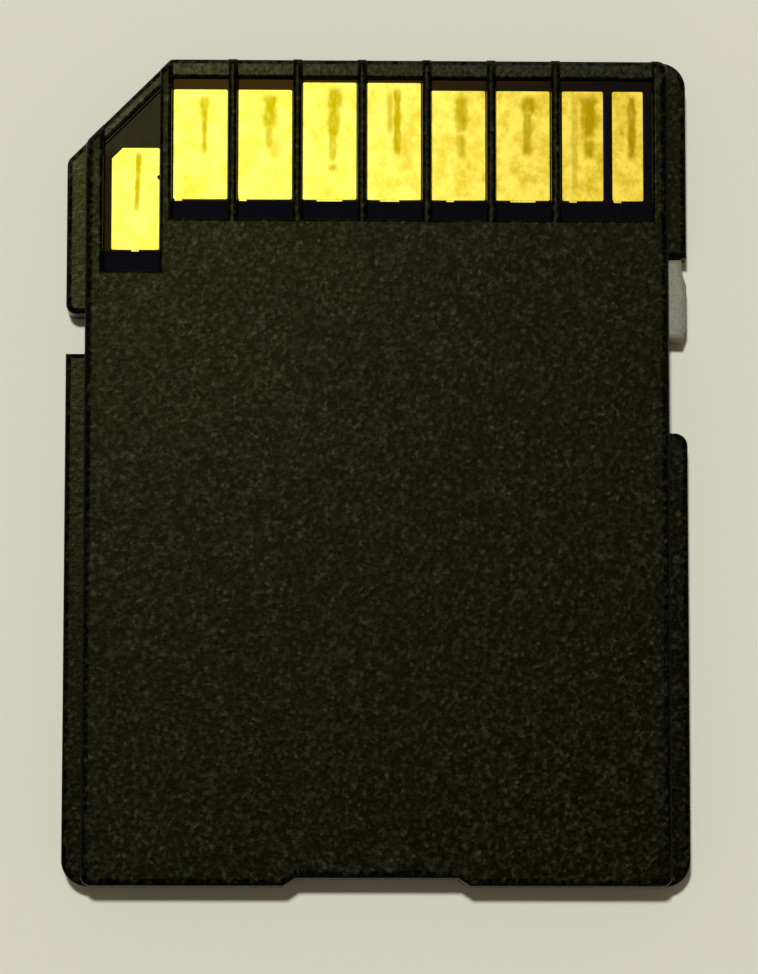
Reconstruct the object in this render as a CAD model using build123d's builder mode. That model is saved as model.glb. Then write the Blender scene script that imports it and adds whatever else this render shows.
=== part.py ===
from build123d import *
import os
from math import sqrt

# Memory card lying contact side up, in millimetres.
# Origin under the middle of the card, +X across it, +Y towards the contacts, +Z up.

# Card envelope
card_width = 24.0
card_length = 32.0
card_thickness = 2.1
corner_radius = 1.0
corner_cut = 4.0
cut_blend = 0.4

# Guide rails along both sides
rail_width = 0.75
rail_thickness = 1.4

# Rounded moulding edges
label_edge_radius = 0.25
rail_edge_radius = 0.22
bar_edge_radius = 0.2
bar_inner_radius = 0.12
body_edge_radius = 0.3
window_edge_radius = 0.14

# Shell walls
cover_floor = 0.3
contact_wall = 0.34
seam_height = 0.7
front_wall = 0.55
rear_wall = 1.3
shell_wall = 0.38
seam_lip_width = 0.2
seam_lip_height = 0.2
seam_clearance = 0.04

# Shallow field for a label on the underside
label_depth = 0.1
label_side_margin = 1.5
label_front_margin = 2.4
label_rear_margin = 1.5
label_corner_radius = 0.6

# Finger recess in the trailing edge
recess_width = 6.2
recess_mouth = 7.1
recess_depth = 0.3

# Locating notch in the rail on the keyed side
notch_rear = 11.54
notch_length = 1.54
notch_corner_radius = 0.4

# Notch for the write-protect slider in the other rail
switch_notch_rear = 14.54
switch_notch_length = 6.83
switch_notch_depth = 0.64
switch_corner_radius = 0.5

# Write-protect slider
slider_length = 3.13
slider_base = 0.1
slider_top = 1.36
slider_shoulder = 0.48
slider_shoulder_inset = 0.18
slider_bump_lead = 0.55
slider_end_taper = 0.45
slider_end_inset = 0.17
slider_edge_radius = 0.24
slider_end_clearance = 0.05
slider_side_clearance = 0.04
hook_length = 2.4
hook_width = 0.25
hook_drop = 0.3
neck_thickness = 0.19
guide_wall = 0.36

# Contact row, set out from both sides of the card
row_keyed_margin = 4.1
row_switch_margin = 5.3
row_count = 6
contact_gap = 0.4
contact_7_margin = 4.02
contact_7_width = 1.6
contact_8_margin = 2.27
contact_8_width = 1.2
contact_9_margin = 2.65
contact_9_width = 1.85
contact_front = 1.18
supply_contact_front = 0.88
contact_rear = 5.5
contact_9_front = 3.5
contact_9_rear = 7.5
contact_9_cut = 0.42
contact_corner_radius = 0.07
contact_thickness = 0.04
contact_depth = 0.7

# Stubs of the plating tails: inset from the keyed-side edge of contacts 1 to 9, and width
tail_insets = [0.2, 0.2, 1.05, 0.88, 0.73, 1.05, 0.42, 0.2, 0.92]
tail_widths = [0.3, 0.3, 1.0, 0.75, 0.3, 1.0, 0.3, 0.3, 0.3]
tail_length = 0.06

# Contact windows and the ribs between them
rib_clearance = 0.03
key_rib_width = 0.44
key_window_margin = 1.42
row_window_margin = 1.37
row_window_rear = 6.36
key_window_rear = 8.4
face_setback = 0.06
bar_width = 0.74
key_bar_width = 0.5
bar_height = 1.58

# Circuit board
board_thickness = 0.4
board_clearance = 0.07

# Stiffening ribs inside the contact-side cover
relief_margin = 1.0
relief_front = 9.4
stiffener_width = 0.5
stiffener_count = 3

# Board supports on the label-side cover
support_bar_width = 0.8
support_bar_setback = 3.5
support_post = 1.2
support_post_inset = 0.55

# Flash memory in a thin small-outline package
flash_length = 15.4
flash_width = 12.0
flash_thickness = 0.56
flash_standoff = 0.04
flash_gap = 0.35
flash_draft = 10
pin_mark_radius = 0.5
pin_mark_depth = 0.05
lead_count = 24
lead_pitch = 0.5
lead_width = 0.2
lead_thickness = 0.12
lead_reach = 0.8
lead_foot = 0.45
lead_shoulder = 0.15

# Memory controller
controller_size = 6.0
controller_thickness = 0.56
controller_x = -1.0
controller_gap = 1.0

# Chip capacitors and resistors
chip_length = 1.0
chip_width = 0.5
chip_cap = 0.25
chip_cap_step = 0.03
capacitor_height = 0.5
resistor_height = 0.35
capacitor_gap = 0.8
capacitor_spacing = 2.4
resistor_gap = 0.6
resistor_count = 5

# Places worked out from the sizes above
half_width = card_width / 2
half_length = card_length / 2
body_half = half_width - rail_width
pocket_half = body_half - shell_wall
contact_plane = card_thickness - contact_depth
board_top = contact_plane - contact_thickness
board_bottom = board_top - board_thickness
pocket_cut = corner_cut - (half_width - pocket_half) - front_wall + front_wall * sqrt(2)
face_cut = corner_cut - rail_width - face_setback + face_setback * sqrt(2)
switch_rear_y = half_length - switch_notch_rear
switch_front_y = switch_rear_y + switch_notch_length
switch_floor_x = half_width - switch_notch_depth
slider_front_y = switch_front_y - slider_end_clearance
slider_rear_y = slider_front_y - slider_length
slider_travel = switch_notch_length - slider_length - 2 * slider_end_clearance
hook_middle_y = (slider_front_y + slider_rear_y) / 2
guide_inner_x = switch_floor_x - guide_wall
neck_bottom = seam_height + slider_side_clearance
neck_top = neck_bottom + neck_thickness
slot_length = hook_length + slider_travel + 4 * slider_end_clearance
slot_middle_y = hook_middle_y - slider_travel / 2
contact_pitch = (card_width - row_keyed_margin - row_switch_margin + contact_gap) / row_count
contact_width = contact_pitch - contact_gap
contact_1_x = -half_width + row_keyed_margin + contact_width / 2
contact_7_x = half_width - contact_7_margin
contact_8_x = half_width - contact_8_margin
contact_9_x = -half_width + contact_9_margin
rib_width = contact_gap - 2 * rib_clearance
key_rib_x = contact_9_x + contact_9_width / 2 + rib_clearance + key_rib_width / 2
key_window_x = -half_width + key_window_margin
row_window_x = half_width - row_window_margin
post_x = pocket_half - support_post_inset - support_post / 2
post_y = -half_length + rear_wall + support_post_inset + support_post / 2
flash_y = post_y + support_post / 2 + flash_gap + flash_width / 2
controller_y = flash_y + flash_width / 2 + controller_gap + controller_size / 2

os.makedirs("parts", exist_ok=True)


# Plan outlines shared by the pieces
with BuildSketch() as recess_outline:
    with BuildLine():
        Polyline(
            (-recess_mouth / 2, -half_length),
            (-recess_width / 2, -half_length + recess_depth),
            (recess_width / 2, -half_length + recess_depth),
            (recess_mouth / 2, -half_length),
            close=True,
        )
    make_face()

with BuildSketch() as card_outline:
    Rectangle(card_width, card_length)
    keyed_corner = card_outline.vertices().sort_by_distance((-half_width, half_length))[0]
    chamfer(keyed_corner, length=corner_cut)
    by_keyed_corner = card_outline.vertices().sort_by_distance((-half_width, half_length))
    fillet(by_keyed_corner[2:], radius=corner_radius)
    cut_ends = card_outline.vertices().sort_by_distance((-half_width, half_length))[:2]
    fillet(cut_ends, radius=cut_blend)
    add(recess_outline.sketch, mode=Mode.SUBTRACT)

with BuildSketch() as body_outline:
    Rectangle(2 * body_half, card_length)
    keyed_corner = body_outline.vertices().sort_by_distance((-body_half, half_length))[0]
    chamfer(keyed_corner, length=corner_cut - rail_width)
    fillet(body_outline.vertices(), radius=cut_blend)
    add(recess_outline.sketch, mode=Mode.SUBTRACT)

with BuildSketch() as face_outline:
    with Locations((0, -face_setback / 2)):
        Rectangle(2 * body_half, card_length - face_setback)
    keyed_corner = face_outline.vertices().sort_by_distance((-body_half, half_length))[0]
    chamfer(keyed_corner, length=face_cut)
    fillet(face_outline.vertices(), radius=cut_blend)
    add(recess_outline.sketch, mode=Mode.SUBTRACT)

with BuildSketch() as pocket_outline:
    with Locations((0, (rear_wall - front_wall) / 2)):
        Rectangle(2 * pocket_half, card_length - front_wall - rear_wall)
    keyed_corner = pocket_outline.vertices().sort_by_distance((-pocket_half, half_length))[0]
    chamfer(keyed_corner, length=pocket_cut)

with BuildSketch() as board_outline:
    add(pocket_outline.sketch)
    offset(amount=-board_clearance, kind=Kind.INTERSECTION, mode=Mode.REPLACE)

with BuildSketch() as seam_lip_outline:
    add(pocket_outline.sketch)
    offset(amount=seam_lip_width, kind=Kind.INTERSECTION, mode=Mode.REPLACE)

with BuildSketch() as seam_rebate_outline:
    add(seam_lip_outline.sketch)
    offset(amount=seam_clearance, kind=Kind.INTERSECTION, mode=Mode.REPLACE)

with BuildSketch() as notch_outline:
    with Locations((-half_width, half_length - notch_rear)):
        Rectangle(rail_width, notch_length, align=(Align.MIN, Align.MIN))

# Rounded outer corner at the front end of that notch
notch_front_y = half_length - notch_rear + notch_length
with BuildSketch() as notch_corner:
    with Locations((-half_width + notch_corner_radius, notch_front_y + notch_corner_radius)):
        Rectangle(notch_corner_radius, notch_corner_radius, align=(Align.MAX, Align.MAX))
        Circle(notch_corner_radius, mode=Mode.SUBTRACT)


# Slider's notch in the label-side cover, shallower than the rail
with BuildSketch() as switch_notch:
    with Locations((switch_floor_x, switch_rear_y)):
        Rectangle(switch_notch_depth, switch_notch_length, align=(Align.MIN, Align.MIN))

# Rounded outer corner at the rear end of the slider's notch
with BuildSketch() as switch_corner:
    with Locations((half_width - switch_corner_radius, switch_rear_y - switch_corner_radius)):
        Rectangle(switch_corner_radius, switch_corner_radius, align=(Align.MIN, Align.MIN))
        Circle(switch_corner_radius, mode=Mode.SUBTRACT)

rib_xs = [contact_1_x + contact_pitch * (gap + 0.5) for gap in range(row_count)]

# Contact windows, open at the leading edge
with BuildSketch() as window_outline:
    with Locations((key_rib_x, half_length)):
        Rectangle(row_window_x - key_rib_x, row_window_rear, align=(Align.MIN, Align.MAX))
    with Locations((key_window_x, half_length)):
        Rectangle(key_rib_x - key_window_x, key_window_rear, align=(Align.MIN, Align.MAX))
    with Locations((key_rib_x, half_length)):
        Rectangle(key_rib_width, 2 * card_length, mode=Mode.SUBTRACT)
    with Locations(*[(x, half_length) for x in rib_xs]):
        Rectangle(rib_width, 2 * card_length, mode=Mode.SUBTRACT)

# The same windows, stopped short of the front bar
with BuildSketch() as deep_window_outline:
    add(card_outline.sketch)
    offset(amount=-key_bar_width, kind=Kind.INTERSECTION, mode=Mode.REPLACE)
    add(window_outline.sketch, mode=Mode.INTERSECT)
    with Locations((0, half_length - bar_width)):
        Rectangle(card_width, card_length, align=(Align.CENTER, Align.MAX), mode=Mode.INTERSECT)


# Field for a label on the underside
label_cut = corner_cut - label_side_margin - label_front_margin + label_side_margin * sqrt(2)
with BuildSketch() as label_outline:
    with Locations((0, (label_rear_margin - label_front_margin) / 2)):
        Rectangle(card_width - 2 * label_side_margin,
                  card_length - label_front_margin - label_rear_margin)
    keyed_corner = label_outline.vertices().sort_by_distance((-half_width, half_length))[0]
    chamfer(keyed_corner, length=label_cut)
    fillet(label_outline.vertices(), radius=label_corner_radius)

# Thinned area inside the contact-side cover, divided by stiffeners
relief_rear_y = -half_length + rear_wall + relief_margin
relief_front_y = half_length - relief_front
relief_half = pocket_half - relief_margin
with BuildSketch() as relief_outline:
    with Locations((0, (relief_front_y + relief_rear_y) / 2)):
        Rectangle(2 * relief_half, relief_front_y - relief_rear_y)
        with GridLocations(2 * relief_half / (stiffener_count + 1), 0, stiffener_count, 1):
            Rectangle(stiffener_width, card_length, mode=Mode.SUBTRACT)


# Label-side cover
with BuildPart() as front_cover:
    with BuildSketch():
        add(card_outline.sketch)
    extrude(amount=seam_height)
    fillet(front_cover.faces().sort_by(Axis.Z)[0].edges(), radius=label_edge_radius)
    # Lip that locates the contact-side cover
    with BuildSketch(Plane.XY.offset(seam_height)):
        add(seam_lip_outline.sketch)
    extrude(amount=seam_lip_height)
    with BuildSketch(Plane.XY.offset(cover_floor)):
        add(pocket_outline.sketch)
    extrude(amount=card_thickness, mode=Mode.SUBTRACT)
    # Supports under the board, behind the contacts and in the rear corners
    with BuildSketch(Plane.XY.offset(cover_floor)):
        with Locations((0, half_length - support_bar_setback)):
            Rectangle(2 * abs(contact_1_x), support_bar_width)
        with Locations((-post_x, post_y), (post_x, post_y)):
            Rectangle(support_post, support_post)
    extrude(amount=board_bottom - cover_floor)
    # Room behind the guide wall for the slider's hook
    with BuildSketch(Plane.XY.offset(cover_floor)):
        with Locations((guide_inner_x, slot_middle_y)):
            Rectangle(guide_inner_x - pocket_half, slot_length, align=(Align.MAX, Align.CENTER))
    extrude(amount=card_thickness, mode=Mode.SUBTRACT)
    with BuildSketch(Plane.XY.offset(seam_height)):
        with Locations((guide_inner_x, slot_middle_y)):
            Rectangle(guide_wall, slot_length, align=(Align.MIN, Align.CENTER))
    extrude(amount=seam_lip_height, mode=Mode.SUBTRACT)
    # Notches in the rails
    with BuildSketch():
        add(switch_notch.sketch)
        add(switch_corner.sketch)
        add(notch_outline.sketch)
        add(notch_corner.sketch)
    extrude(amount=card_thickness, mode=Mode.SUBTRACT)
    # Label field
    with BuildSketch():
        add(label_outline.sketch)
    extrude(amount=label_depth, mode=Mode.SUBTRACT)

front_cover.part.label = "front_cover"
export_step(front_cover.part, "parts/front_cover.step")


# Block with the contact windows and ribs, rounded along their top edges
with BuildPart() as window_block:
    with BuildSketch(Plane.XY.offset(seam_height)):
        Rectangle(card_width, card_length)
        add(window_outline.sketch, mode=Mode.SUBTRACT)
    extrude(amount=card_thickness - seam_height)
    window_rim = window_block.faces().sort_by(Axis.Z)[-1].edges().filter_by(
        lambda edge: abs(edge.center().X) < body_half
        and abs(edge.center().Y) < half_length - face_setback
    )
    fillet(window_rim, radius=window_edge_radius)

# Raised face of the contact-side cover
with BuildPart() as raised_face:
    with BuildSketch(Plane.XY.offset(seam_height)):
        add(face_outline.sketch)
    extrude(amount=card_thickness - seam_height)
    fillet(raised_face.faces().sort_by(Axis.Z)[-1].edges(), radius=body_edge_radius)
    add(window_block.part, mode=Mode.INTERSECT)

# Low bar that joins the front ends of the ribs
with BuildPart() as front_bar:
    with BuildSketch(Plane.XY.offset(seam_height)):
        add(body_outline.sketch)
    extrude(amount=bar_height - seam_height)
    fillet(front_bar.faces().sort_by(Axis.Z)[-1].edges(), radius=bar_edge_radius)
    with BuildSketch(Plane.XY.offset(seam_height)):
        add(deep_window_outline.sketch)
    extrude(amount=card_thickness, mode=Mode.SUBTRACT)
    bar_rim = [wire.edges() for wire in front_bar.faces().sort_by(Axis.Z)[-1].inner_wires()]
    fillet(sum(bar_rim, ShapeList()), radius=bar_inner_radius)

# Contact-side cover
with BuildPart() as rear_cover:
    with BuildSketch(Plane.XY.offset(seam_height)):
        add(card_outline.sketch)
        add(notch_outline.sketch, mode=Mode.SUBTRACT)
        add(notch_corner.sketch, mode=Mode.SUBTRACT)
        add(switch_corner.sketch, mode=Mode.SUBTRACT)
        with Locations((half_width, switch_rear_y)):
            Rectangle(rail_width, switch_notch_length, align=(Align.MAX, Align.MIN), mode=Mode.SUBTRACT)
    extrude(amount=rail_thickness - seam_height)
    fillet(rear_cover.faces().sort_by(Axis.Z)[-1].edges(), radius=rail_edge_radius)
    add(front_bar.part)
    add(raised_face.part)
    # Windows down to the board, and the pocket that holds it
    with BuildSketch(Plane.XY.offset(board_top)):
        add(deep_window_outline.sketch)
    extrude(amount=card_thickness, mode=Mode.SUBTRACT)
    with BuildSketch(Plane.XY.offset(seam_height)):
        add(pocket_outline.sketch)
    extrude(amount=board_top - seam_height, mode=Mode.SUBTRACT)
    with BuildSketch(Plane.XY.offset(seam_height)):
        add(seam_rebate_outline.sketch)
    extrude(amount=seam_lip_height + seam_clearance, mode=Mode.SUBTRACT)
    # Thinner wall behind the windows, with stiffening ribs
    with BuildSketch(Plane.XY.offset(board_top)):
        add(relief_outline.sketch)
    extrude(amount=card_thickness - contact_wall - board_top, mode=Mode.SUBTRACT)
    # Slot for the neck of the slider
    with BuildSketch(Plane.XY.offset(seam_height)):
        with Locations((pocket_half, slot_middle_y)):
            Rectangle(rail_width, slot_length, align=(Align.MIN, Align.CENTER))
    extrude(amount=neck_top + slider_end_clearance - seam_height, mode=Mode.SUBTRACT)

rear_cover.part.label = "rear_cover"
export_step(rear_cover.part, "parts/rear_cover.step")


# Write-protect slider, hooked over the guide wall of the label-side cover
with BuildPart() as write_protect_slider:
    with BuildSketch(Plane.XY.offset(slider_base)):
        with BuildLine():
            shoulder_x = half_width - slider_shoulder_inset
            shoulder_y = slider_front_y - slider_shoulder
            Polyline(
                (switch_floor_x + slider_side_clearance, slider_front_y),
                (shoulder_x, slider_front_y),
                (shoulder_x, shoulder_y),
                (half_width, shoulder_y - slider_bump_lead),
                (half_width, slider_rear_y + slider_end_taper),
                (half_width - slider_end_inset, slider_rear_y),
                (switch_floor_x + slider_side_clearance, slider_rear_y),
                close=True,
            )
        make_face()
    extrude(amount=slider_top - slider_base)
    with BuildSketch(Plane.XY.offset(neck_bottom)):
        with Locations((body_half + slider_side_clearance, slider_rear_y)):
            Rectangle(shoulder_x - body_half - slider_side_clearance, slider_length,
                      align=(Align.MIN, Align.MIN))
    extrude(amount=slider_top - neck_bottom)
    rim = write_protect_slider.faces().sort_by(Axis.Z)[-1].edges().sort_by(Axis.X)[1:]
    fillet(rim, radius=slider_edge_radius)
    # Neck over the guide wall, and the hook behind it
    with BuildSketch(Plane.XY.offset(neck_bottom)):
        with Locations((guide_inner_x - slider_side_clearance - hook_width, hook_middle_y)):
            Rectangle(switch_floor_x - guide_inner_x + hook_width + 2 * slider_side_clearance,
                      hook_length, align=(Align.MIN, Align.CENTER))
    extrude(amount=neck_thickness)
    with BuildSketch(Plane.XY.offset(neck_bottom - hook_drop)):
        with Locations((guide_inner_x - slider_side_clearance, hook_middle_y)):
            Rectangle(hook_width, hook_length, align=(Align.MAX, Align.CENTER))
    extrude(amount=hook_drop)

write_protect_slider.part.label = "write_protect_slider"
export_step(write_protect_slider.part, "parts/write_protect_slider.step")


# Circuit board
with BuildPart() as circuit_board:
    with BuildSketch(Plane.XY.offset(board_bottom)):
        add(board_outline.sketch)
    extrude(amount=board_thickness)

circuit_board.part.label = "circuit_board"
export_step(circuit_board.part, "parts/circuit_board.step")


# Gold contacts: centre, width, front and rear setback
contacts = []
for place in range(row_count):
    setback = supply_contact_front if place in (2, 3) else contact_front
    contacts.append((contact_1_x + contact_pitch * place, contact_width, setback, contact_rear))
contacts.append((contact_7_x, contact_7_width, contact_front, contact_rear))
contacts.append((contact_8_x, contact_8_width, contact_front, contact_rear))
contacts.append((contact_9_x, contact_9_width, contact_9_front, contact_9_rear))

for number, (centre_x, width, front, rear) in enumerate(contacts, start=1):
    tail_x = centre_x - width / 2 + tail_insets[number - 1]
    with BuildPart() as contact:
        with BuildSketch(Plane.XY.offset(board_top)) as plate:
            with Locations((centre_x, half_length - (front + rear) / 2)):
                Rectangle(width, rear - front)
            if number == 9:
                keyed_corner = plate.vertices().sort_by_distance((-half_width, half_length))[0]
                chamfer(keyed_corner, length=contact_9_cut)
            fillet(plate.vertices(), radius=contact_corner_radius)
            with Locations((tail_x, half_length - rear)):
                Rectangle(tail_widths[number - 1], 2 * tail_length)
        extrude(amount=contact_thickness)
    contact.part.label = f"contact_{number}"
    export_step(contact.part, f"parts/contact_{number}.step")


# Flash memory package, drafted both ways from its parting plane
flash_middle = board_bottom - flash_standoff - flash_thickness / 2
with BuildPart() as flash_package:
    with BuildSketch(Plane.XY.offset(flash_middle)):
        with Locations((0, flash_y)):
            Rectangle(flash_length, flash_width)
    extrude(amount=flash_thickness / 2, taper=flash_draft)
    mirror(about=Plane.XY.offset(flash_middle))
    with BuildSketch(Plane.XY.offset(flash_middle - flash_thickness / 2)):
        with Locations((-flash_length / 2 + 3 * pin_mark_radius,
                        flash_y + flash_width / 2 - 3 * pin_mark_radius)):
            Circle(pin_mark_radius)
    extrude(amount=pin_mark_depth, mode=Mode.SUBTRACT)

flash_package.part.label = "flash_package"
export_step(flash_package.part, "parts/flash_package.step")

# Gull-wing leads down both ends of the flash package
lead_root_x = flash_length / 2
foot_x = lead_root_x + lead_reach - lead_foot
foot_bottom = board_bottom - lead_thickness
lead_ys = [flash_y + lead_pitch * (place - (lead_count - 1) / 2) for place in range(lead_count)]
with BuildPart() as flash_leads:
    with BuildSketch(*[Plane.XZ.offset(-y - lead_width / 2) for y in lead_ys]):
        with BuildLine():
            Polyline(
                (lead_root_x, flash_middle - lead_thickness / 2),
                (lead_root_x + lead_shoulder, flash_middle - lead_thickness / 2),
                (foot_x, foot_bottom),
                (lead_root_x + lead_reach, foot_bottom),
                (lead_root_x + lead_reach, board_bottom),
                (foot_x - lead_thickness / 2, board_bottom),
                (lead_root_x + lead_shoulder - lead_thickness / 2, flash_middle + lead_thickness / 2),
                (lead_root_x, flash_middle + lead_thickness / 2),
                close=True,
            )
        make_face()
    extrude(amount=lead_width)
    mirror(about=Plane.YZ)

flash_leads.part.label = "flash_leads"
export_step(flash_leads.part, "parts/flash_leads.step")


# Memory controller
with BuildPart() as controller_chip:
    with BuildSketch(Plane.XY.offset(board_bottom - controller_thickness)):
        with Locations((controller_x, controller_y)):
            Rectangle(controller_size, controller_size)
    extrude(amount=controller_thickness)
    with BuildSketch(Plane.XY.offset(board_bottom - controller_thickness)):
        with Locations((controller_x - controller_size / 2 + 2 * pin_mark_radius,
                        controller_y + controller_size / 2 - 2 * pin_mark_radius)):
            Circle(pin_mark_radius / 2)
    extrude(amount=pin_mark_depth, mode=Mode.SUBTRACT)

controller_chip.part.label = "controller_chip"
export_step(controller_chip.part, "parts/controller_chip.step")


# Chip capacitors and resistors: a ceramic block between two plated ends
def chip_component(name, place, height):
    with BuildPart() as chip:
        with BuildSketch(Plane.XY.offset(board_bottom)):
            with Locations(place):
                Rectangle(chip_length, chip_width - 2 * chip_cap_step)
        extrude(amount=-(height - chip_cap_step))
        with BuildSketch(Plane.XY.offset(board_bottom)):
            with Locations(place):
                with GridLocations(chip_length - chip_cap, 0, 2, 1):
                    Rectangle(chip_cap, chip_width)
        extrude(amount=-height)
    chip.part.label = name
    export_step(chip.part, f"parts/{name}.step")


# Capacitors stand in pairs on both sides of the controller
capacitor_reach = controller_size / 2 + capacitor_gap + chip_length / 2
capacitor_places = [
    (controller_x + side * capacitor_reach, controller_y + end * capacitor_spacing / 2)
    for side in (1, -1)
    for end in (1, -1)
]
for number, place in enumerate(capacitor_places, start=1):
    chip_component(f"capacitor_{number}", place, capacitor_height)

# Resistors stand in a row behind the first contacts
resistor_y = controller_y + controller_size / 2 + resistor_gap + chip_width / 2
for number in range(1, resistor_count + 1):
    place = (contact_1_x + contact_pitch * (number - 1), resistor_y)
    chip_component(f"resistor_{number}", place, resistor_height)
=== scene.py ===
"""Dresses a memory card that lies contact side up, and sets the light and the camera round it."""

import logging
from dataclasses import dataclass, field
from enum import Enum
from math import pi, radians, sqrt

import bpy
import numpy as np
from mathutils import Euler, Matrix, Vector


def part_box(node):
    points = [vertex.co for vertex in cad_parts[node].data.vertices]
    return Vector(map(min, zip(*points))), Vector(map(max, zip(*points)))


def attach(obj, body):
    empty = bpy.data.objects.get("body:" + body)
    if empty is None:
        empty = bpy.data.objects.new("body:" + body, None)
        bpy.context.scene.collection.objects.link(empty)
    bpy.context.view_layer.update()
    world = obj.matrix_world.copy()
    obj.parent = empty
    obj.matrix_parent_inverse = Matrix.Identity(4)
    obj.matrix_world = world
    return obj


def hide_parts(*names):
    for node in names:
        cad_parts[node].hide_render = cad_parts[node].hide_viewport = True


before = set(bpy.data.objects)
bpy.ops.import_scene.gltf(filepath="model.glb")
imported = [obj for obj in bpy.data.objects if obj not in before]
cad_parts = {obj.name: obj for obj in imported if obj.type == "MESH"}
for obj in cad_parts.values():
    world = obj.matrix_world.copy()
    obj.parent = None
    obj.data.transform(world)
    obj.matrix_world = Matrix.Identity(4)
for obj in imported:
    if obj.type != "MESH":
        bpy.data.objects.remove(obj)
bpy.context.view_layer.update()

MM = 0.001
# The wave texture turns by this many radians for each unit of its scaled place
WAVE_TURN = 20.0
log = logging.getLogger("memory_card")

Socket = bpy.types.NodeSocket
Span = tuple[float, float]


class Body(Enum):
    """The body that new pieces ride on."""

    CARD = "card"


class Slot(Enum):
    """A material slot name for the gold plating, which nothing in this script uses."""

    GOLD = "gold_plating"


def linear(hex_code: str) -> tuple[float, float, float, float]:
    """Turns an sRGB hex colour into linear light.

    Args:
        hex_code: Six hex digits, with or without a leading hash.

    Returns:
        Red, green, blue and an alpha of 1, in linear light.
    """
    digits = hex_code.lstrip("#")
    channels = [int(digits[place:place + 2], 16) / 255 for place in (0, 2, 4)]
    light = [c / 12.92 if c <= 0.04045 else ((c + 0.055) / 1.055) ** 2.4 for c in channels]
    return (*light, 1.0)


def per_metre(size_mm: float) -> float:
    """Gives the texture scale at which one repeat has that size in millimetres."""
    return 1.0 / (size_mm * MM)


def metres(span_mm: Span) -> Span:
    """Turns both ends of a span from millimetres into metres."""
    return span_mm[0] * MM, span_mm[1] * MM


class Graph:
    """A node tree, with a single way to add a node and short names for common ones."""

    def __init__(self, tree: bpy.types.NodeTree) -> None:
        """Empties the tree.

        Args:
            tree: A material's or a world's node tree.
        """
        self.tree = tree
        tree.nodes.clear()

    def add(self, kind: str, settings: dict | None = None, **inputs: object) -> bpy.types.Node:
        """Adds a node with its settings, and sets or links its inputs.

        Args:
            kind: The node's type, without its ShaderNode prefix.
            settings: Values of the node's own properties.
            inputs: One entry for each input, by its name with underscores for spaces, or by its
                number after an n. An output socket is linked and any other value is set.

        Returns:
            The new node.
        """
        node = self.tree.nodes.new("ShaderNode" + kind)
        for name, value in (settings or {}).items():
            setattr(node, name, value)
        for name, value in inputs.items():
            socket = node.inputs[int(name[1:]) if name[1:].isdigit() else name.replace("_", " ")]
            if isinstance(value, Socket):
                self.tree.links.new(value, socket)
            else:
                socket.default_value = value
        return node

    def math(self, operation: str, *values: Socket | float, clamp: bool = False) -> Socket:
        """Adds one step of arithmetic.

        Args:
            operation: The step, by the math node's name for it.
            values: The node's inputs, in order.
            clamp: Whether the result is held between 0 and 1.

        Returns:
            The result.
        """
        inputs = {f"n{place}": value for place, value in enumerate(values)}
        return self.add("Math", {"operation": operation, "use_clamp": clamp}, **inputs).outputs[0]

    def span(self, value: Socket, source: Span = (0.0, 1.0), target: Span = (0.0, 1.0),
             eased: bool = False) -> Socket:
        """Maps one span of values to another, held at both ends.

        Args:
            value: The value to map.
            source: The values that map to the target's two ends.
            target: What they map to.
            eased: Whether the map is flat at both ends instead of straight.

        Returns:
            The mapped value.
        """
        shape = {"interpolation_type": "SMOOTHSTEP" if eased else "LINEAR"}
        return self.add("MapRange", shape, Value=value, From_Min=source[0], From_Max=source[1],
                        To_Min=target[0], To_Max=target[1]).outputs[0]

    def mix(self, share: Socket, near: Socket | str, far: Socket | str) -> Socket:
        """Blends two colours, each a socket or a hex code.

        Args:
            share: How much of the far colour shows, from 0 to 1.
            near: The colour at 0.
            far: The colour at 1.

        Returns:
            The blend.
        """
        ends = [linear(colour) if isinstance(colour, str) else colour for colour in (near, far)]
        return self.add("Mix", {"data_type": "RGBA"}, n0=share, n6=ends[0], n7=ends[1]).outputs[2]

    def noise(self, place: Socket, size_mm: float, detail: float = 2.0,
              fineness: float = 0.5) -> Socket:
        """Adds a cloudy pattern of a real size.

        Args:
            place: The place on the piece.
            size_mm: The size of its largest clouds.
            detail: How many finer layers it has.
            fineness: How strong each finer layer is beside the one before.

        Returns:
            The pattern, mostly between 0.3 and 0.7.
        """
        return self.add("TexNoise", Vector=place, Scale=per_metre(size_mm), Detail=detail,
                        Roughness=fineness).outputs["Fac"]

    def drawn_out(self, place: Socket, share: float) -> Socket:
        """Squeezes places along the card, so that a pattern on them is drawn out that way."""
        return self.add("Mapping", Vector=place, Scale=(1.0, share, 1.0)).outputs[0]

    def bump(self, height: Socket, height_mm: float, strength: Socket | float = 1.0) -> Socket:
        """Turns a pattern into a relief of a real height.

        Args:
            height: The pattern.
            height_mm: The relief's height.
            strength: How much of it shows.

        Returns:
            The bumped normal.
        """
        return self.add("Bump", Strength=strength, Distance=height_mm * MM,
                        Height=height).outputs[0]


class Recipe(Graph):
    """One material and its node tree."""

    def __init__(self, name: str) -> None:
        """Starts an empty node tree.

        Args:
            name: The material's name.
        """
        self.material = bpy.data.materials.new(name)
        self.material.use_nodes = True
        super().__init__(self.material.node_tree)

    def finish(self, **inputs: object) -> bpy.types.Material:
        """Adds the surface's shader and links it to the material's output.

        Args:
            inputs: The shader's inputs, as add takes them.

        Returns:
            The finished material.
        """
        surface = self.add("BsdfPrincipled", **inputs)
        self.add("OutputMaterial", Surface=surface.outputs[0])
        return self.material


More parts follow.
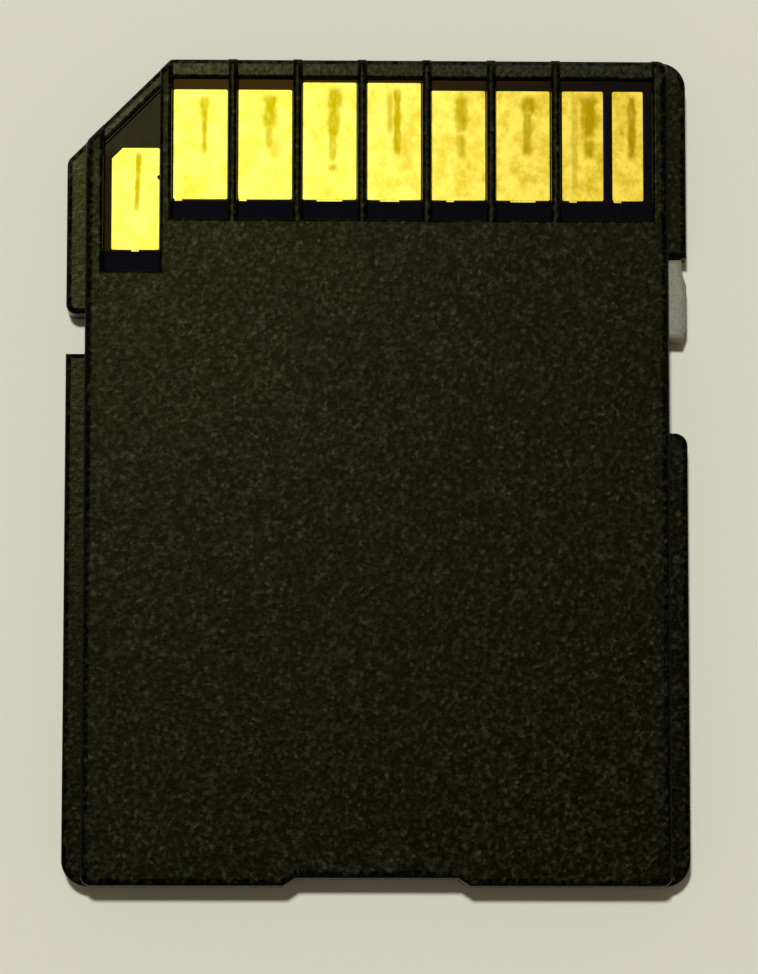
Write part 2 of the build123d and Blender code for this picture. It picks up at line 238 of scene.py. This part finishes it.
@dataclass(frozen=True)
class MouldedCase:
    """Black ABS, moulded against a spark-eroded tool.

    The colour itself is nearly black. What shows is a weak olive gloss and a fine speckle. On
    rounded edges and walls the speckle is smoother and the colour is painted darker, as painted
    shade, so that these go black where they turn away from the light. The rails, ribs and bar are
    smoother than the pitted face. The upright walls, which draw along the tool and slide in slots,
    are polished and mirror their surroundings dimly. The low bar along the leading edge and the cut
    corner is painted a
    lighter grey in patches: partly scuffs from being pushed into slots, partly a painted highlight.
    """

    dark: str = "#020201"
    pale: str = "#37382A"
    scuffed_and_lit: str = "#23231F"
    gloss: str = "#FFFF98"
    gloss_level: float = 0.017
    ior: float = 1.54
    grain_mm: float = 0.2
    grain_fineness: float = 0.6
    grain_height_mm: float = 0.01
    crater_mm: float = 0.14
    crater_blend: float = 0.5
    crater_share: float = 0.25
    speck_span: Span = (0.66, 1.4)
    speck_power: float = 2.0
    # Below flat_lean the pale speckle is cut down: partly a smoother finish on rounded edges and
    # walls, partly painted shade.
    flat_lean: Span = (0.75, 0.98)
    smooth_and_shaded_edge_share: float = 0.25
    front_mm: float = 16.0
    cut_line_mm: float = 24.0
    # Reach and fade of the low bar's lighter patches: partly scuffs, partly a painted highlight.
    scuff_and_highlight_mm: float = 0.7
    scuff_and_highlight_fade_mm: float = 0.15
    scuff_and_highlight_patch: Span = (0.35, 0.65)
    face_mm: Span = (2.02, 2.09)
    face_rough: float = 0.335
    rail_rough: float = 0.255
    rail_depth: float = 0.7
    pit_span: Span = (0.6, 1.15)
    pit_rough: float = 0.04
    drift_mm: float = 2.4
    drift_rough: float = 0.03
    wall_lean: Span = (0.25, 0.55)
    wall_polish: float = 0.35
    wall_rough: float = 0.4

    def speckle(self, r: Recipe, place: Socket, grain: Socket) -> Socket:
        """Adds the craters to the grain: each crater's tone is the sum of three random ones.

        Args:
            r: The plastic's recipe.
            place: The place on the piece.
            grain: The grain between the craters.

        Returns:
            The speckle, low in the pits and high between them.
        """
        crater = r.add("TexVoronoi", {"feature": "SMOOTH_F1"}, Vector=place,
                       Smoothness=self.crater_blend, Scale=per_metre(self.crater_mm))
        first, second, third = r.add("SeparateColor", Color=crater.outputs["Color"]).outputs
        tone = r.math("ADD", r.math("ADD", first, second), third)
        return r.math("MULTIPLY_ADD", tone, self.crater_share, grain)

    def scuffs_and_highlight(self, r: Recipe, spot: bpy.types.Node, face: Socket, grain: Socket) -> Socket:
        """Finds the low bar's lighter patches: partly rubbed by slots, partly a painted highlight.

        They lie within a short way of the leading edge or the cut corner's line, whichever is
        nearer, below the face and where the grain is high.

        Args:
            r: The plastic's recipe.
            spot: The place on the piece, taken apart.
            face: Whether the place is on the raised face.
            grain: The grain that breaks the patches up.

        Returns:
            The scuffs and painted highlight, from 0 to 1.
        """
        across, along = spot.outputs["X"], spot.outputs["Y"]
        ahead = r.math("SUBTRACT", self.front_mm * MM, along)
        slant = r.math("SUBTRACT", along, across)
        beside = r.math("MULTIPLY_ADD", slant, -sqrt(0.5), self.cut_line_mm * MM * sqrt(0.5))
        inward = r.math("MINIMUM", ahead, beside)
        leading = r.span(inward, metres((self.scuff_and_highlight_mm, self.scuff_and_highlight_mm - self.scuff_and_highlight_fade_mm)))
        low = r.math("MULTIPLY", leading, r.math("SUBTRACT", 1.0, face))
        return r.math("MULTIPLY", low, r.span(grain, self.scuff_and_highlight_patch))

    def material(self) -> bpy.types.Material:
        """Builds the plastic's node tree.

        Returns:
            The material.
        """
        r = Recipe("black_abs_spark_eroded")
        where = r.add("TexCoord")
        place = where.outputs["Object"]
        spot = r.add("SeparateXYZ", Vector=place)
        lean = r.add("SeparateXYZ", Vector=where.outputs["Normal"]).outputs["Z"]
        flatness = r.math("ABSOLUTE", lean)
        face = r.span(spot.outputs["Z"], metres(self.face_mm), eased=True)
        grain = r.noise(place, self.grain_mm, fineness=self.grain_fineness)
        speck = self.speckle(r, place, grain)

        tone = r.math("POWER", r.span(speck, self.speck_span), self.speck_power)
        # Painted shade: rounded edges and walls keep only part of the pale speckle, so their colour
        # is darker.
        edge_smoothing_and_shade = r.span(flatness, self.flat_lean, (self.smooth_and_shaded_edge_share, 1.0))
        # Painted highlight: the low bar's patches turn a lighter grey, partly real scuffs from
        # slots.
        ground = r.mix(self.scuffs_and_highlight(r, spot, face, grain), self.dark, self.scuffed_and_lit)
        colour = r.mix(r.math("MULTIPLY", tone, edge_smoothing_and_shade), ground, self.pale)

        depth = r.span(face, target=(self.rail_depth, 1.0))
        pits = r.span(speck, self.pit_span, (self.pit_rough, -self.pit_rough))
        base = r.span(face, target=(self.rail_rough, self.face_rough))
        drift = r.span(r.noise(place, self.drift_mm), target=(-self.drift_rough, self.drift_rough))
        rough = r.math("ADD", r.math("MULTIPLY_ADD", pits, depth, base), drift)
        polish = r.span(flatness, self.wall_lean, (self.wall_polish, 0.0))
        return r.finish(Base_Color=colour, Roughness=rough, IOR=self.ior,
                        Specular_IOR_Level=self.gloss_level, Specular_Tint=linear(self.gloss),
                        Coat_Weight=polish, Coat_Roughness=self.wall_rough,
                        Normal=r.bump(grain, self.grain_height_mm, depth))


@dataclass(frozen=True)
class SatinSlider:
    """Pale grey acetal, moulded with a satin face that is rubbed smooth by fingers."""

    dark: str = "#6C6D5F"
    pale: str = "#858673"
    tone_span: Span = (0.3, 0.7)
    grain_mm: float = 0.12
    grain_height_mm: float = 0.004
    rough: float = 0.5
    gloss_level: float = 0.2
    ior: float = 1.48

    def material(self) -> bpy.types.Material:
        """Builds the slider's node tree.

        Returns:
            The material.
        """
        r = Recipe("grey_acetal_satin")
        grain = r.noise(r.add("TexCoord").outputs["Object"], self.grain_mm)
        colour = r.mix(r.span(grain, self.tone_span), self.dark, self.pale)
        return r.finish(Base_Color=colour, Roughness=self.rough, IOR=self.ior,
                        Specular_IOR_Level=self.gloss_level,
                        Normal=r.bump(grain, self.grain_height_mm))


@dataclass(frozen=True)
class SolderMask:
    """Black solder mask over woven glass laminate.

    It is nearly black behind the contacts. Round them it is open, and the bare laminate shows
    brown, most along the leading edge. The brown is painted fading from the keyed side towards the
    slider, as painted shade where the lamp's highlight falls off. Ahead of the contact in the cut
    corner a thin olive mask is left.
    """

    dark: str = "#020205"
    pale: str = "#07070F"
    brown: str = "#3C2D05"
    olive: str = "#303018"
    blotch_mm: float = 0.25
    blotch_detail: float = 3.0
    bare_row_mm: float = 10.44
    bare_keyed_mm: float = 8.46
    strip_mm: Span = (14.2, 14.9)
    rear_share: float = 0.4
    # Painted shade: the brown fades over this span, from the keyed side towards the slider.
    painted_fade_mm: Span = (-6.0, 9.0)
    slider_side_shade_share: float = 0.1
    keyed_side_mm: float = -8.4
    olive_mm: Span = (12.0, 12.6)
    cloud_span: Span = (0.3, 0.7)
    cloud_low: float = 0.6
    weave_mm: float = 0.32
    weave_height_mm: float = 0.002
    weave_strength: float = 0.6
    rough: float = 0.5
    gloss_level: float = 0.01
    ior: float = 1.5

    def material(self) -> bpy.types.Material:
        """Builds the mask's node tree.

        Returns:
            The material.
        """
        r = Recipe("black_solder_mask")
        place = r.add("TexCoord").outputs["Object"]
        spot = r.add("SeparateXYZ", Vector=place)
        across, along = spot.outputs["X"], spot.outputs["Y"]
        blotch = r.noise(place, self.blotch_mm, self.blotch_detail)
        covered = r.mix(blotch, self.dark, self.pale)

        keyed = r.math("LESS_THAN", across, self.keyed_side_mm * MM)
        edge = r.span(keyed, target=metres((self.bare_row_mm, self.bare_keyed_mm)))
        bare = r.math("GREATER_THAN", along, edge)
        share = r.span(along, metres(self.strip_mm), (self.rear_share, 1.0), eased=True)
        # Painted shade: the brown fades from the keyed side towards the slider, where the lamp's
        # highlight falls off.
        painted_fade = r.span(across, metres(self.painted_fade_mm), (1.0, self.slider_side_shade_share))
        shows = r.math("MULTIPLY", bare, r.math("MULTIPLY", share, painted_fade))
        strip = r.mix(shows, covered, self.brown)

        ahead = r.span(along, metres(self.olive_mm), eased=True)
        cloudy = r.span(blotch, self.cloud_span, (self.cloud_low, 1.0))
        corner = r.math("MULTIPLY", r.math("MULTIPLY", keyed, ahead), cloudy)
        colour = r.mix(corner, strip, self.olive)

        threads = [r.add("TexWave", {"bands_direction": way}, Vector=place,
                         Scale=per_metre(self.weave_mm) * 2 * pi / WAVE_TURN).outputs["Fac"]
                   for way in ("X", "Y")]
        weave = r.math("MAXIMUM", *threads)
        return r.finish(Base_Color=colour, Roughness=self.rough, IOR=self.ior,
                        Specular_IOR_Level=self.gloss_level,
                        Normal=r.bump(weave, self.weave_height_mm, self.weave_strength))


@dataclass(frozen=True)
class GoldPlating:
    """Flash gold over nickel: a soft lemon yellow, dulled to olive where springs have rubbed it.

    Towards the slider the gold is painted darker and deeper, as painted shade where the lamp's
    highlight falls off, and there are fine blotches all over. Each pair of colours runs from the
    keyed side to the slider's.
    """

    bright: tuple[str, str] = ("#FFF676", "#E2CE52")
    mellow: tuple[str, str] = ("#EEDE46", "#BEA20C")
    worn: tuple[str, str] = ("#C4B800", "#A48A00")
    # Painted shade: over this span the gold darkens from the keyed side towards the slider.
    painted_falloff_mm: Span = (-5.0, 11.0)
    blotch_mm: float = 0.6
    blotch_draw: float = 0.75
    blotch_detail: float = 4.0
    blotch_fineness: float = 0.75
    blotch_span: Span = (0.42, 0.68)
    streak_mm: float = 0.16
    streak_draw: float = 0.35
    streak_detail: float = 3.0
    streak_fineness: float = 0.6
    streak_span: Span = (0.35, 0.62)
    streak_wear: Span = (0.8, 1.25)
    scratch_mm: float = 0.035
    scratch_draw: float = 0.03
    scratch_height_mm: float = 0.0008
    rough: float = 0.68

    def material(self) -> bpy.types.Material:
        """Builds the plating's node tree, with the mesh's rub attribute as its wear.

        Returns:
            The material.
        """
        r = Recipe("flash_gold_plating")
        place = r.add("TexCoord").outputs["Object"]
        across = r.add("SeparateXYZ", Vector=place).outputs["X"]
        # Painted shade: each colour darkens and deepens from the keyed side towards the slider,
        # where the lamp's highlight falls off.
        painted_falloff = r.span(across, metres(self.painted_falloff_mm), eased=True)
        bright, mellow, worn = (r.mix(painted_falloff, *pair) for pair in (self.bright, self.mellow, self.worn))
        blotch = r.noise(r.drawn_out(place, self.blotch_draw), self.blotch_mm, self.blotch_detail,
                         self.blotch_fineness)
        plate = r.mix(r.span(blotch, self.blotch_span), bright, mellow)

        rub = r.add("Attribute", {"attribute_name": "rub"}).outputs["Fac"]
        streak = r.noise(r.drawn_out(place, self.streak_draw), self.streak_mm, self.streak_detail,
                         self.streak_fineness)
        ragged = r.span(streak, self.streak_span, self.streak_wear)
        colour = r.mix(r.math("MULTIPLY", rub, ragged, clamp=True), plate, worn)
        scratch = r.noise(r.drawn_out(place, self.scratch_draw), self.scratch_mm)
        return r.finish(Base_Color=colour, Metallic=1.0, Roughness=self.rough,
                        Normal=r.bump(scratch, self.scratch_height_mm))


@dataclass(frozen=True)
class MouldingCompound:
    """Black epoxy moulding compound with a fine filler that gives a dull, sandy surface."""

    dark: str = "#161616"
    pale: str = "#232323"
    filler_mm: float = 0.06
    filler_height_mm: float = 0.004
    filler_strength: float = 0.5
    rough: float = 0.7
    ior: float = 1.55

    def material(self) -> bpy.types.Material:
        """Builds the compound's node tree.

        Returns:
            The material.
        """
        r = Recipe("black_moulding_compound")
        sand = r.noise(r.add("TexCoord").outputs["Object"], self.filler_mm)
        return r.finish(Base_Color=r.mix(sand, self.dark, self.pale), Roughness=self.rough,
                        IOR=self.ior,
                        Normal=r.bump(sand, self.filler_height_mm, self.filler_strength))


@dataclass(frozen=True)
class TinPlate:
    """Bright tin over copper, with the frosty patches of a reflowed coat."""

    pale: str = "#D2D2CC"
    grey: str = "#A9A9A3"
    patch_mm: float = 0.15
    rough: Span = (0.25, 0.5)

    def material(self) -> bpy.types.Material:
        """Builds the tin's node tree.

        Returns:
            The material.
        """
        r = Recipe("reflowed_tin")
        patch = r.noise(r.add("TexCoord").outputs["Object"], self.patch_mm)
        return r.finish(Base_Color=r.mix(patch, self.pale, self.grey), Metallic=1.0,
                        Roughness=r.span(patch, target=self.rough))


@dataclass(frozen=True)
class FiredCeramic:
    """A chip's fired ceramic block between two tinned ends."""

    name: str
    body: str
    body_pale: str
    centre_x: float
    length: float
    grain_mm: float = 0.08
    body_rough: float = 0.6
    tin: str = "#C9C9C4"
    tin_rough: float = 0.35
    cap_mm: float = 0.25
    cap_lap_mm: float = 0.005

    def material(self) -> bpy.types.Material:
        """Builds the chip's node tree, tinned beyond its caps' inner edges.

        Returns:
            The material.
        """
        r = Recipe(self.name)
        place = r.add("TexCoord").outputs["Object"]
        across = r.add("SeparateXYZ", Vector=place).outputs["X"]
        reach = r.math("ABSOLUTE", r.math("SUBTRACT", across, self.centre_x))
        inner = self.length / 2 - (self.cap_mm + self.cap_lap_mm) * MM
        capped = r.math("GREATER_THAN", reach, inner)
        block = r.mix(r.noise(place, self.grain_mm), self.body, self.body_pale)
        return r.finish(Base_Color=r.mix(capped, block, self.tin), Metallic=capped,
                        Roughness=r.span(capped, target=(self.body_rough, self.tin_rough)))


@dataclass(frozen=True)
class RubMark:
    """A streak that a slot's spring has rubbed along a contact.

    Sizes are in millimetres: across from the contact's middle, along from its front edge.
    """

    contact: int
    across: float
    begin: float
    end: float
    front_width: float
    rear_width: float
    strength: float
    lean: float = 0.0


RUB_MARKS = (
    RubMark(1, 0.16, 0.26, 1.35, 0.36, 0.26, 0.84),
    RubMark(1, 0.15, 1.1, 2.5, 0.20, 0.17, 0.90),
    RubMark(2, 0.21, 0.22, 1.5, 0.60, 0.56, 0.92),
    RubMark(2, 0.17, 1.2, 2.3, 0.42, 0.23, 0.76),
    RubMark(2, 0.45, 1.9, 2.7, 0.42, 0.43, 0.42),
    RubMark(3, 0.22, 0.24, 2.15, 0.62, 0.46, 0.90, -0.08),
    RubMark(3, 0.14, 2.0, 3.1, 0.34, 0.26, 0.78, -0.02),
    RubMark(3, 0.13, 3.22, 3.5, 0.39, 0.35, 0.84),
    RubMark(4, 0.13, 0.26, 2.85, 0.28, 0.32, 0.95),
    RubMark(4, -0.16, 0.36, 2.0, 0.25, 0.26, 0.62),
    RubMark(4, 0.55, 1.5, 3.4, 0.42, 0.58, 0.28),
    RubMark(5, 0.13, 0.26, 1.6, 0.53, 0.49, 0.84),
    RubMark(5, 0.11, 1.75, 2.65, 0.36, 0.35, 0.73),
    RubMark(6, 0.24, 0.22, 0.9, 0.50, 0.61, 0.90),
    RubMark(6, 0.20, 0.8, 2.55, 0.36, 0.35, 0.84, -0.04),
    RubMark(7, 0.25, 0.22, 1.8, 0.64, 0.58, 0.90),
    RubMark(7, 0.25, 1.95, 2.65, 0.36, 0.49, 0.84),
    RubMark(7, -0.31, 0.3, 3.95, 0.28, 0.23, 0.45),
    RubMark(8, 0.17, 0.22, 2.65, 0.31, 0.35, 0.90),
    RubMark(9, 0.12, 0.2, 2.46, 0.22, 0.19, 0.95, -0.08),
)


def smooth(values: np.ndarray, low: float, high: float) -> np.ndarray:
    """Eases from 0 at low to 1 at high, flat at both ends.

    Args:
        values: The values to ease.
        low: Where the result leaves 0.
        high: Where the result reaches 1.

    Returns:
        The eased values.
    """
    share = np.clip((values - low) / (high - low), 0.0, 1.0)
    return share * share * (3.0 - 2.0 * share)


@dataclass
class Contact:
    """One gold contact: a plated pad with a rolled edge, on the place of its solid.

    A rub mark's width wavers by two waves, each given as its share of the width and its turn in
    radians for each millimetre. The contact's number and the mark's place shift the waves.
    """

    number: int
    tail_inset_mm: float
    tail_width_mm: float
    cut_mm: float = 0.0
    nick_along_mm: float = 0.0
    nick_radius_mm: float = 0.0
    corner_mm: float = 0.07
    corner_start: float = 0.2
    corner_steps: int = 8
    tail_length_mm: float = 0.06
    tail_rows_mm: Span = (0.004, 0.03)
    edge_mm: float = 0.012
    edge_steps: int = 4
    groove_mm: float = 0.004
    rub_fade_mm: float = 0.18
    slow_wave: Span = (0.14, 7.0)
    quick_wave: Span = (0.06, 19.0)
    wave_shift: Span = (2.4, 9.0)
    columns: int = 72
    rows: int = 150
    sharp_degrees: float = 40.0

    @property
    def node(self) -> str:
        """The name of the solid that this contact stands for."""
        return f"contact_{self.number}"

    @property
    def turn(self) -> np.ndarray:
        """The angles of the rolled edge's quarter round, from its wall to its top."""
        return np.linspace(0.0, pi / 2, self.edge_steps + 1)

    def outline(self, along: np.ndarray, width: float,
                length: float) -> tuple[np.ndarray, np.ndarray]:
        """Gives the pad's left and right edges.

        The edges are straight. Within a corner radius of either end each moves in by the radius
        less the chord of its arc, a cut corner moves the left edge in on a slant, a nick bites an
        arc out of the right edge, and past the rear edge only the tail is left.

        Args:
            along: Distances behind the front edge, in millimetres.
            width: The pad's width.
            length: The pad's length without its tail.

        Returns:
            The left and right edges, in millimetres from the pad's middle.
        """
        radius = self.corner_mm
        to_end = np.minimum(along, length - along)
        reach = np.clip(radius - to_end, 0.0, radius)
        inset = radius - np.sqrt(radius**2 - reach**2)
        left = -width / 2 + np.maximum(inset, np.clip(self.cut_mm - along, 0.0, None))
        bite = self.nick_radius_mm**2 - (along - self.nick_along_mm) ** 2
        right = width / 2 - inset - np.sqrt(np.clip(bite, 0.0, None))
        tail_middle = -width / 2 + self.tail_inset_mm
        in_tail = along > length
        left = np.where(in_tail, np.maximum(tail_middle - self.tail_width_mm / 2, -width / 2), left)
        right = np.where(in_tail, tail_middle + self.tail_width_mm / 2, right)
        return left, right

    def rub(self, across: np.ndarray, along: np.ndarray) -> np.ndarray:
        """Finds how far the springs have worn the plating.

        Each mark is a streak about a slightly leaning line. Its wear falls off across the line as
        e to minus the fourth power of the distance in half widths, and eases in and out at both
        ends. Its width changes evenly along the line, and wavers. Where marks meet, the stronger
        counts.

        Args:
            across: Places across the pad, in millimetres from its middle.
            along: Distances behind its front edge.

        Returns:
            Wear from 0 to 1.
        """
        wear = np.zeros_like(across)
        fade = self.rub_fade_mm
        for mark in (m for m in RUB_MARKS if m.contact == self.number):
            share = np.clip((along - mark.begin) / (mark.end - mark.begin), 0.0, 1.0)
            shift = self.wave_shift[0] * self.number + self.wave_shift[1] * mark.across
            slow = self.slow_wave[0] * np.sin(self.slow_wave[1] * along + shift)
            quick = self.quick_wave[0] * np.sin(self.quick_wave[1] * along - shift)
            half = (mark.front_width + (mark.rear_width - mark.front_width) * share) / 2
            off = (across - mark.across - mark.lean * share) / (half * (1.0 + slow + quick))
            ends = smooth(along, mark.begin - fade, mark.begin + fade)
            ends = ends * (1.0 - smooth(along, mark.end - fade, mark.end + fade))
            wear = np.maximum(wear, mark.strength * ends * np.exp(-off**4))
        return wear

    def lengthwise(self, length: float) -> tuple[np.ndarray, np.ndarray]:
        """Sets out the rows of points, closer together where the ends and corners curve.

        The top drops at both ends by a quarter round: the edge's radius less the chord of its arc.

        Args:
            length: The pad's length without its tail, in millimetres.

        Returns:
            Each row's distance behind the front edge, and the drop of its top.
        """
        edge = self.edge_mm
        bend = np.linspace(self.corner_start, pi / 2, self.corner_steps)
        curves = [edge * (1.0 - np.cos(self.turn)), self.corner_mm * (1.0 - np.cos(bend))]
        front = np.unique(np.concatenate(curves))
        middle = np.linspace(self.corner_mm, length - self.corner_mm, self.rows)[1:-1]
        tail = np.array([*self.tail_rows_mm, self.tail_length_mm - edge, self.tail_length_mm])
        along = np.concatenate([front, middle, length - front[::-1], length + tail])
        to_end = np.clip(np.minimum(along, length - along), 0.0, edge)
        return along, edge - np.sqrt(edge**2 - (edge - to_end) ** 2)

    def section(self) -> tuple[np.ndarray, np.ndarray, np.ndarray]:
        """Sets out the points of a row: up the left wall, over the top and down the right wall.

        Returns:
            Each point's place across the flat top, from -1 to 1, and its step outwards and its
            fall below the top, both as shares of the edge's radius.
        """
        out, below = np.cos(self.turn), 1.0 - np.sin(self.turn)
        flat = np.linspace(-1.0, 1.0, self.columns)[1:-1]
        side = np.ones(self.turn.size)
        across = np.concatenate([[-1.0], -side, flat, side, [1.0]])
        outset = np.concatenate([[-1.0], -out, 0 * flat, out[::-1], [1.0]])
        fall = np.concatenate([[0.0], below, 0 * flat, below[::-1], [0.0]])
        return across, outset, fall

    def build(self) -> bpy.types.Object:
        """Carries the pad's cross-section along its length as one closed mesh.

        The section is a loop: up the left wall, over a quarter-round shoulder, across the top,
        down the same on the right. The rows follow the outline's edges, and the top drops by the
        same quarter round at both ends. The springs' streaks are sunk into the top.

        Returns:
            The new object, riding on the card.
        """
        low, high = (np.array(corner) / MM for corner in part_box(self.node))
        width, length = high[0] - low[0], high[1] - low[1] - self.tail_length_mm
        edge = self.edge_mm
        along, drop = self.lengthwise(length)
        across, outset, fall = self.section()
        left, right = self.outline(along, width, length)
        centre = ((left + right) / 2)[:, None]
        half = ((right - left) / 2)[:, None]
        x = centre + (half - edge) * across + edge * outset
        y = np.broadcast_to(along[:, None], x.shape)
        wear = self.rub(x, y)
        z = high[2] - low[2] - edge * fall - drop[:, None] - self.groove_mm * wear * (outset == 0)
        z[:, [0, -1]] = 0.0
        points = np.stack([x + (low[0] + high[0]) / 2, high[1] - y, low[2] + z], axis=-1) * MM

        index = np.arange(x.size).reshape(x.shape)
        ring = np.roll(index, -1, axis=1)
        quads = np.stack([index[:-1], index[1:], ring[1:], ring[:-1]], axis=-1).reshape(-1, 4)
        faces = quads.tolist() + [index[0].tolist(), index[-1, ::-1].tolist()]
        mesh = bpy.data.meshes.new(f"plated_{self.node}")
        mesh.from_pydata(points.reshape(-1, 3), [], faces)
        mesh.attributes.new("rub", "FLOAT", "POINT").data.foreach_set(
            "value", wear.astype(np.float32).ravel())
        mesh.shade_smooth()
        mesh.set_sharp_from_angle(angle=radians(self.sharp_degrees))
        piece = bpy.data.objects.new(f"plated_{self.node}", mesh)
        bpy.context.scene.collection.objects.link(piece)
        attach(piece, Body.CARD.value)
        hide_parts(self.node)
        log.info("%s: %d rows of %d points", piece.name, *x.shape)
        return piece


@dataclass
class ContactRow:
    """The nine gold contacts in their windows."""

    finish: GoldPlating = field(default_factory=GoldPlating)
    contacts: tuple[Contact, ...] = (
        Contact(1, 0.2, 0.3),
        Contact(2, 0.2, 0.3),
        Contact(3, 1.05, 1.0),
        Contact(4, 0.88, 0.75),
        Contact(5, 0.73, 0.3),
        Contact(6, 1.05, 1.0),
        Contact(7, 0.42, 0.3),
        Contact(8, 0.2, 0.3),
        Contact(9, 0.92, 0.3, cut_mm=0.42, nick_along_mm=1.15, nick_radius_mm=0.09),
    )

    def build(self) -> list[bpy.types.Object]:
        """Builds every contact."""
        return [contact.build() for contact in self.contacts]

    def dress(self, pieces: list[bpy.types.Object]) -> None:
        """Plates the contacts.

        Args:
            pieces: The contacts' objects.
        """
        gold = self.finish.material()
        for piece in pieces:
            piece.data.materials.append(gold)


@dataclass
class Shell:
    """The two covers and the write-protect slider, which keep their solids."""

    case: MouldedCase = field(default_factory=MouldedCase)
    slider: SatinSlider = field(default_factory=SatinSlider)

    def dress(self) -> None:
        """Gives the covers and the slider their plastics."""
        plastic = self.case.material()
        paint("front_cover", plastic)
        paint("rear_cover", plastic)
        paint("write_protect_slider", self.slider.material())


@dataclass
class Electronics:
    """The circuit board and the chips on its hidden side."""

    mask: SolderMask = field(default_factory=SolderMask)
    compound: MouldingCompound = field(default_factory=MouldingCompound)
    tin: TinPlate = field(default_factory=TinPlate)
    capacitor_colours: tuple[str, str] = ("#8A6A48", "#A3835E")
    resistor_colours: tuple[str, str] = ("#1C1C1E", "#2B2B2E")

    def dress(self) -> None:
        """Gives the board, the packages, their leads and the chips their finishes."""
        paint("circuit_board", self.mask.material())
        compound = self.compound.material()
        paint("flash_package", compound)
        paint("controller_chip", compound)
        paint("flash_leads", self.tin.material())
        colours = {"capacitor": self.capacitor_colours, "resistor": self.resistor_colours}
        for node in sorted(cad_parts):
            kind = node.rstrip("0123456789_")
            if kind in colours:
                low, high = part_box(node)
                chip = FiredCeramic(f"fired_ceramic_{node}", *colours[kind],
                                    (low.x + high.x) / 2, high.x - low.x)
                paint(node, chip.material())


def paint(node: str, material: bpy.types.Material) -> None:
    """Puts a material in every slot of a solid.

    Args:
        node: The solid's name.
        material: The material.
    """
    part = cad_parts[node]
    for slot in part.material_slots:
        slot.material = material
    log.info("%s: %s", node, material.name)


@dataclass
class Studio:
    """Plain pale floor, one soft lamp from the leading edge, a dim sky and the camera.

    Sizes are in metres, apart from those in millimetres.
    """

    floor_colour: str = "#D9DBCA"
    floor_rough: float = 0.95
    floor_gloss: float = 0.2
    floor_size: float = 4.0
    floor_gap_mm: float = 0.01
    lamp_slope: tuple[float, float] = (-0.1, 0.27)
    lamp_height: float = 0.8
    lamp_width: float = 0.076
    lamp_level: float = 0.8
    sky_colour: str = "#FFE8CE"
    sky_overhead: float = 0.13
    sky_horizon: float = 0.68
    sky_turn: float = 0.6
    camera_mm: tuple[float, float, float] = (-3.699, -19.355, 164.556)
    camera_turn: tuple[float, float, float] = (0.113921, -0.02302, 0.003609)
    camera_near: float = 0.005
    lens_mm: float = 157.955
    sensor_mm: float = 36.0

    def build(self) -> None:
        """Builds the floor, the lamp, the sky and the camera."""
        self.floor()
        self.lamp()
        self.sky()
        self.camera()
        bpy.context.scene.view_settings.view_transform = "Standard"

    def floor(self) -> None:
        """Lays the floor just under the card."""
        half = self.floor_size / 2
        level = -self.floor_gap_mm * MM
        corners = [(x * half, y * half, level) for x, y in ((-1, -1), (1, -1), (1, 1), (-1, 1))]
        mesh = bpy.data.meshes.new("floor")
        mesh.from_pydata(corners, [], [(0, 1, 2, 3)])
        floor = bpy.data.objects.new("floor", mesh)
        bpy.context.scene.collection.objects.link(floor)
        paper = Recipe("pale_paper").finish(Base_Color=linear(self.floor_colour),
                                            Roughness=self.floor_rough,
                                            Specular_IOR_Level=self.floor_gloss)
        mesh.materials.append(paper)

    def lamp(self) -> None:
        """Hangs a round area lamp, by which a white card that faces it is lamp_level bright."""
        place = Vector((*self.lamp_slope, 1.0)) * self.lamp_height
        light = bpy.data.lights.new("key", "AREA")
        light.shape = "DISK"
        light.size = self.lamp_width
        light.energy = self.lamp_level * pi * pi * place.length_squared
        lamp = bpy.data.objects.new("key", light)
        lamp.location = place
        lamp.rotation_euler = place.to_track_quat("Z", "Y").to_euler()
        bpy.context.scene.collection.objects.link(lamp)

    def sky(self) -> None:
        """Fills the shadows with a studio sky, pale at the horizon and dim overhead."""
        world = bpy.data.worlds.new("sky")
        world.use_nodes = True
        g = Graph(world.node_tree)
        rise = g.add("SeparateXYZ", Vector=g.add("TexCoord").outputs["Generated"]).outputs["Z"]
        level = g.span(rise, (0.0, self.sky_turn), (self.sky_horizon, self.sky_overhead))
        glow = g.add("Background", Color=linear(self.sky_colour), Strength=level)
        g.add("OutputWorld", Surface=glow.outputs[0])
        bpy.context.scene.world = world

    def camera(self) -> None:
        """Stands the camera where the photograph was taken from."""
        data = bpy.data.cameras.new("camera")
        data.sensor_width = self.sensor_mm
        data.lens = self.lens_mm
        data.clip_start = self.camera_near
        camera = bpy.data.objects.new("camera", data)
        camera.location = Vector(self.camera_mm) * MM
        camera.rotation_mode = "ZYX"
        camera.rotation_euler = Euler(self.camera_turn, "ZYX")
        bpy.context.scene.collection.objects.link(camera)
        bpy.context.scene.camera = camera


def main() -> None:
    """Builds and dresses the card, then sets the scene round it."""
    logging.basicConfig(level=logging.INFO, format="%(message)s")
    Shell().dress()
    Electronics().dress()
    row = ContactRow()
    row.dress(row.build())
    Studio().build()


if __name__ == "__main__":
    main()
